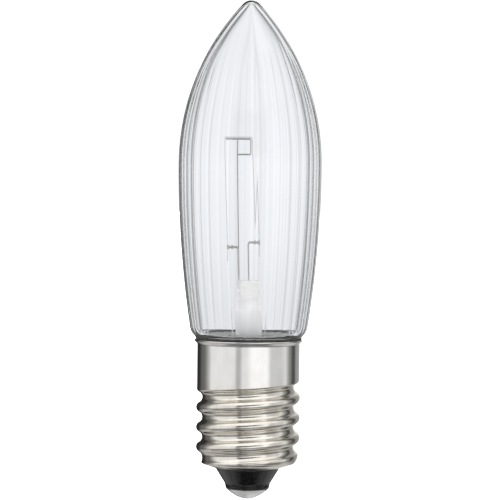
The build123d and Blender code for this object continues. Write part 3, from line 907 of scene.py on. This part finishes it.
def make_cement():
    inner, outer = NECK_R - CEMENT_LAP, SKIRT_R - SHELL_WALL + CEMENT_LAP
    edge, top = at_rim(*BEAD_EDGE), [at_rim(*point) for point in BEAD_TOP]
    fillet, foot = (at_rim(outer + wider, rise) for wider, rise in (LIP_FILLET, BEAD_FOOT))
    ring = [(inner, Z_SEAL), (outer, Z_SEAL), (outer, Z_RIM - LIP_HEIGHT), fillet,
            *straight(foot, edge, 3), *straight(edge, top[0], 5),
            *top, at_rim(inner, BEAD_TOP[-1][1]), (inner, Z_SEAL)]
    base = grown("cement_ring", line_mesh("cement_line", ring), plain_turning, Around=220, Material=cement)
    return regrown(base, lumpy, Lumps=CEMENT_LUMPS * MM, Grain=CEMENT_GRAIN * MM, Material=cement)


dressed(make_cement(), "cement", "basing_cement")

# %% Bead at the back
BEAD_HALF, BEAD_DROP, BEAD_LUMPS, BEAD_GRAIN = (0.5, 0.36, 0.34), 0.116, 0.16, 0.45
BEAD_PLACE = Vector((0.0, SKIRT_R + LIP_OVERHANG, Z_RIM - BEAD_DROP))


def make_side_solder():
    mesh = bpy.data.meshes.new("bead")
    shape = bmesh.new()
    bmesh.ops.create_icosphere(shape, subdivisions=5, radius=MM)
    for point in shape.verts:
        point.co = Vector([value * half for value, half in zip(point.co, BEAD_HALF)]) + BEAD_PLACE * MM
    shape.to_mesh(mesh)
    shape.free()
    return grown("solder_bead", mesh, lumpy, Lumps=BEAD_LUMPS * MM, Grain=BEAD_GRAIN * MM, Material=solder)


dressed(make_side_solder(), "solder", "side_solder")

# %% [markdown]
# ## Stem
#
# The stem is a flared tube whose upper end was pinched flat while soft, so its section goes from a circle
# to two flats with round ends. A loft would need many sections, so the tree blends the two outlines by the
# share of each row. A thin exhaust tube, drawn off and closed below, hangs in its bore.

# %% Stem
FLARE_DROP, FLARE_EASE, FLARE_STEPS, TOP_ROUND, TOP_INSET = 1.2, 0.9, 8, 0.25, 0.12


def pressed(inlet, radius, height, angle, share):
    """Circle where the share is 0, and an oblong of two flats with round ends where it is 1."""
    thick, spread, tube = inlet["Thick"], inlet["Spread"], inlet["Tube"]
    upright, level = (angle.math("ABSOLUTE", angle.math(kind, angle)) for kind in ("SINE", "COSINE"))
    flat = thick / upright.math("MAXIMUM", upright, 0.0001)
    reach = thick * thick - spread * upright * spread * upright
    end = spread * level + reach.math("SQRT", reach.math("MAXIMUM", reach, 0.0))
    on_flat = flat.math("LESS_THAN", flat * level, spread)
    oblong = on_flat * flat + (1 - on_flat) * end
    return radius / tube * ((1 - share) * tube + share * oblong)


def press_top(tilt, inward=1.0):
    """Point on the rounded upper edge of the press, or on its top, where inward draws it to the middle."""
    radius = TUBE_R * (1 - TOP_INSET * (1 - cos(radians(tilt))))
    return (radius * inward, Z_PRESS - TOP_ROUND + TOP_ROUND * sin(radians(tilt)))


def make_stem():
    flare_r, z_flare, z_under = NECK_R - GLASS_WALL, Z_TUBE - FLARE_DROP, Z_SEAL - FLARE_RIM
    inside = eased([(0.0, Z_BORE_TOP), (BORE_R, Z_BORE_TOP), (BORE_R, z_flare),
                    (flare_r - FLARE_RIM, z_under), (NECK_R, z_under)], FLARE_EASE, FLARE_STEPS)
    outside = eased([(NECK_R, Z_SEAL), (flare_r, Z_SEAL), (TUBE_R, z_flare), (TUBE_R, Z_TUBE_TOP)],
                    FLARE_EASE, FLARE_STEPS)
    pinch = straight((TUBE_R, Z_TUBE_TOP), (TUBE_R, Z_PINCH), 16)
    press = straight((TUBE_R, Z_PINCH), (TUBE_R, Z_PRESS - TOP_ROUND), 6)
    edge = [press_top(tilt) for tilt in range(0, 90, 20)]
    top = [press_top(90, inward) for inward in (0.8, 0.5, 0.0)]
    upper = outside[:-1] + pinch + press + edge + top
    shares = [0.0] * len(inside) + [share_between(z, Z_TUBE_TOP, Z_PINCH) for _, z in upper]
    tree = turned_tree("pressed_stem", pressed, Tube=0.001, Thick=0.001, Spread=0.001)
    return grown("pressed_stem", line_mesh("stem_line", inside + upper, shares=shares), tree, Around=144,
                 Tube=TUBE_R * MM, Thick=PRESS_THICK * MM, Spread=(PRESS_HALF - PRESS_THICK) * MM,
                 Material=stem_glass)


dressed(make_stem(), "stem_glass", "glass_stem")

# %% Exhaust tube
EXHAUST_EASE = 0.15


def make_exhaust_tube():
    closed = Z_DRAWN_OFF + 2 * EXHAUST_R
    line = eased([(0.0, Z_DRAWN_OFF), (EXHAUST_R / 3, Z_DRAWN_OFF), (EXHAUST_R, closed),
                  (EXHAUST_R, Z_BORE_TOP), (EXHAUST_BORE_R, Z_BORE_TOP), (EXHAUST_BORE_R, closed),
                  (0.0, closed)], EXHAUST_EASE, 5)
    base = line_mesh("exhaust_line", line)
    return grown("drawn_off_tube", base, plain_turning, Around=48, Material=stem_glass)


dressed(make_exhaust_tube(), "stem_glass", "exhaust_tube")

# %% [markdown]
# ## Wires
#
# Two leads rise from the press and end in hooks, thinner copper tails run down from them into the cap, and
# a post carries a bar with its end bent back as a loop. One tree draws them all: a line of points, bends
# eased, a round section, which is quicker to change than a bevelled curve for each.

# %% Leads, tails and support
LEAD_BEND, TAIL_BEND, SUPPORT_BEND, HOOK_LEAN, TAIL_GAP = 0.22, 0.3, 0.14, 0.1, 0.115


def bent_wire(name, node, slot, finish, diameter, bend, *lines):
    piece = grown(name, line_mesh(name + "_line", *lines), drawn_wire, Diameter=diameter * MM, Bend=bend * MM,
                  Material=finish)
    return dressed(piece, slot, node)


left_lead = [(-WELD_X, 0, Z_WELD), (LEFT_X, 0, Z_PRESS), (LEFT_X - HOOK_LEAN, 0, LEFT_CLAMP.z), LEFT_CLAMP]
right_lead = [(WELD_X, 0, Z_WELD), (RIGHT_X, 0, Z_PRESS), (RIGHT_X - HOOK_LEAN, 0, RIGHT_CLAMP.z),
              RIGHT_CLAMP]
bent_wire("lead_left", "inner_lead_left", "nickel_wire", nickel_wire, LEAD_D, LEAD_BEND, left_lead)
bent_wire("lead_right", "inner_lead_right", "nickel_wire", nickel_wire, LEAD_D, LEAD_BEND, right_lead)

gap_r, z_under = NECK_R + TAIL_GAP, Z_SEAL - FLARE_RIM - TAIL_D
side_tail = [(-WELD_X, 0, Z_WELD), (-TAIL_X, 0, Z_BORE_TOP), (-TAIL_X, 0, z_under), (0, gap_r, z_under),
             (0, gap_r, Z_RIM - LIP_HEIGHT), (0, gap_r + LIP_OVERHANG, Z_RIM - TAIL_D / 2)]
centre_tail = [(WELD_X, 0, Z_WELD), (TAIL_X, 0, Z_BORE_TOP), (TAIL_X, 0, Z_DRAWN_OFF), (0, 0, Z_FILL),
               (0, 0, Z_PLATE)]
bent_wire("tail_side", "outer_lead_side", "copper_wire", copper_wire, TAIL_D, TAIL_BEND, side_tail)
bent_wire("tail_centre", "outer_lead_centre", "copper_wire", copper_wire, TAIL_D, TAIL_BEND, centre_tail)

post = [(POST_X, POST_Y, Z_WELD), (POST_X, POST_Y, Z_PRESS), (POST_TOP_X, POST_Y, Z_LOOP),
        (POST_TOP_X, POST_Y, Z_BAR)]
loop = [(POST_TOP_X, POST_Y, Z_LOOP), (LOOP_X, POST_Y, Z_LOOP), (LOOP_X, POST_Y, Z_BAR),
        (BAR_X, POST_Y, Z_BAR)]
bent_wire("support", "filament_support", "support_wire", support_wire, SUPPORT_D, SUPPORT_BEND, post, loop)

# %% [markdown]
# ## Filament
#
# Tungsten wire, finer than a hair, is wound into a close coil, caught in both clamps and led up over the
# bar. At this size a plain grey wire would pass, but from near the turns can be told apart, so the coil is
# wound for real.

# %% Coiled filament
COIL_WIRE, COIL_PITCH, COIL_BEND, COIL_GAP, COIL_END = 0.026, 0.07, 0.1, 0.02, 1.3
reach = (SUPPORT_D + COIL_D) / 2 + COIL_GAP
drop_end = Vector((0, 0, COIL_END))
coil = [LEFT_CLAMP - drop_end, LEFT_CLAMP, (BAR_X - reach, POST_Y, Z_BAR + reach),
        (LOOP_X + reach, POST_Y, Z_BAR + reach), RIGHT_CLAMP, RIGHT_CLAMP - drop_end]
wound = grown("coil", line_mesh("coil_line", coil), coiled_wire, Coil=COIL_D * MM, Wire=COIL_WIRE * MM,
              Pitch=COIL_PITCH * MM, Bend=COIL_BEND * MM, Material=tungsten)
dressed(wound, "tungsten", "filament")

# %% [markdown]
# ## Clamps
#
# Each lead ends in a tongue that is beaten flat and folded round the coil. It is a strip swept along an
# eased U, short enough to be built corner by corner, with its edges bevelled so that they catch the light.

# %% Clamps at the lead ends
CLAMP_WALL, CLAMP_HALF, CLAMP_EASE, CLAMP_EDGE, SHARP = 0.055, 0.19, 0.09, 0.012, 1.0
FOLD = [(0.2, 0.1), (-0.1, 0.1), (-0.1, -0.1), (0.14, -0.1)]
SECTION = [(1, -CLAMP_HALF), (-1, -CLAMP_HALF), (-1, CLAMP_HALF), (1, CLAMP_HALF)]


def folded_strip(place, side):
    """Corners and faces of the strip, four corners for each point of the fold."""
    fold, corners = eased(FOLD, CLAMP_EASE, 5), []
    for k, (x, y) in enumerate(fold):
        ahead = Vector(fold[min(k + 1, len(fold) - 1)]) - Vector(fold[max(k - 1, 0)])
        out = Vector((-ahead.y, ahead.x)).normalized() * CLAMP_WALL / 2
        corners += [(place + Vector((side * (x + s * out.x), y + s * out.y, z))) * MM for s, z in SECTION]
    faces = [(4 * k + a, 4 * k + b, 4 * k + 4 + b, 4 * k + 4 + a) for k in range(len(fold) - 1)
             for a, b in ((0, 1), (1, 2), (2, 3), (3, 0))]
    last = len(corners) - 4
    return corners, faces + [(3, 2, 1, 0), (last, last + 1, last + 2, last + 3)]


def make_clamp(name, node, place, side):
    """End of the lead beaten flat and folded round the coil, open towards the lead."""
    corners, faces = folded_strip(place, side)
    mesh = bpy.data.meshes.new(name)
    mesh.from_pydata(corners, [], faces)
    shape = bmesh.new()
    shape.from_mesh(mesh)
    bmesh.ops.recalc_face_normals(shape, faces=shape.faces)
    edges = [edge for edge in shape.edges if edge.calc_face_angle(0.0) > SHARP]
    bmesh.ops.bevel(shape, geom=edges, offset=CLAMP_EDGE * MM, segments=2, affect="EDGES")
    shape.to_mesh(mesh)
    shape.free()
    mesh.materials.append(nickel_wire)
    piece = bpy.data.objects.new(name, mesh)
    bpy.context.scene.collection.objects.link(piece)
    return dressed(piece, "nickel_wire", node)


clamps = [make_clamp("clamp_left", "inner_lead_left", LEFT_CLAMP, 1),
          make_clamp("clamp_right", "inner_lead_right", RIGHT_CLAMP, -1)]
print("clamps:", [len(clamp.data.polygons) for clamp in clamps], "faces")

# %% [markdown]
# ## Contact plate
#
# The brass plate lies under the solder, where nothing of it shows. A finer mesh would add nothing, so the
# solid keeps its own and only gets a finish.

# %% Solid that keeps its mesh
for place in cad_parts["contact_plate"].material_slots:
    place.material = contact_brass
print("the contact plate under the solder keeps its mesh")
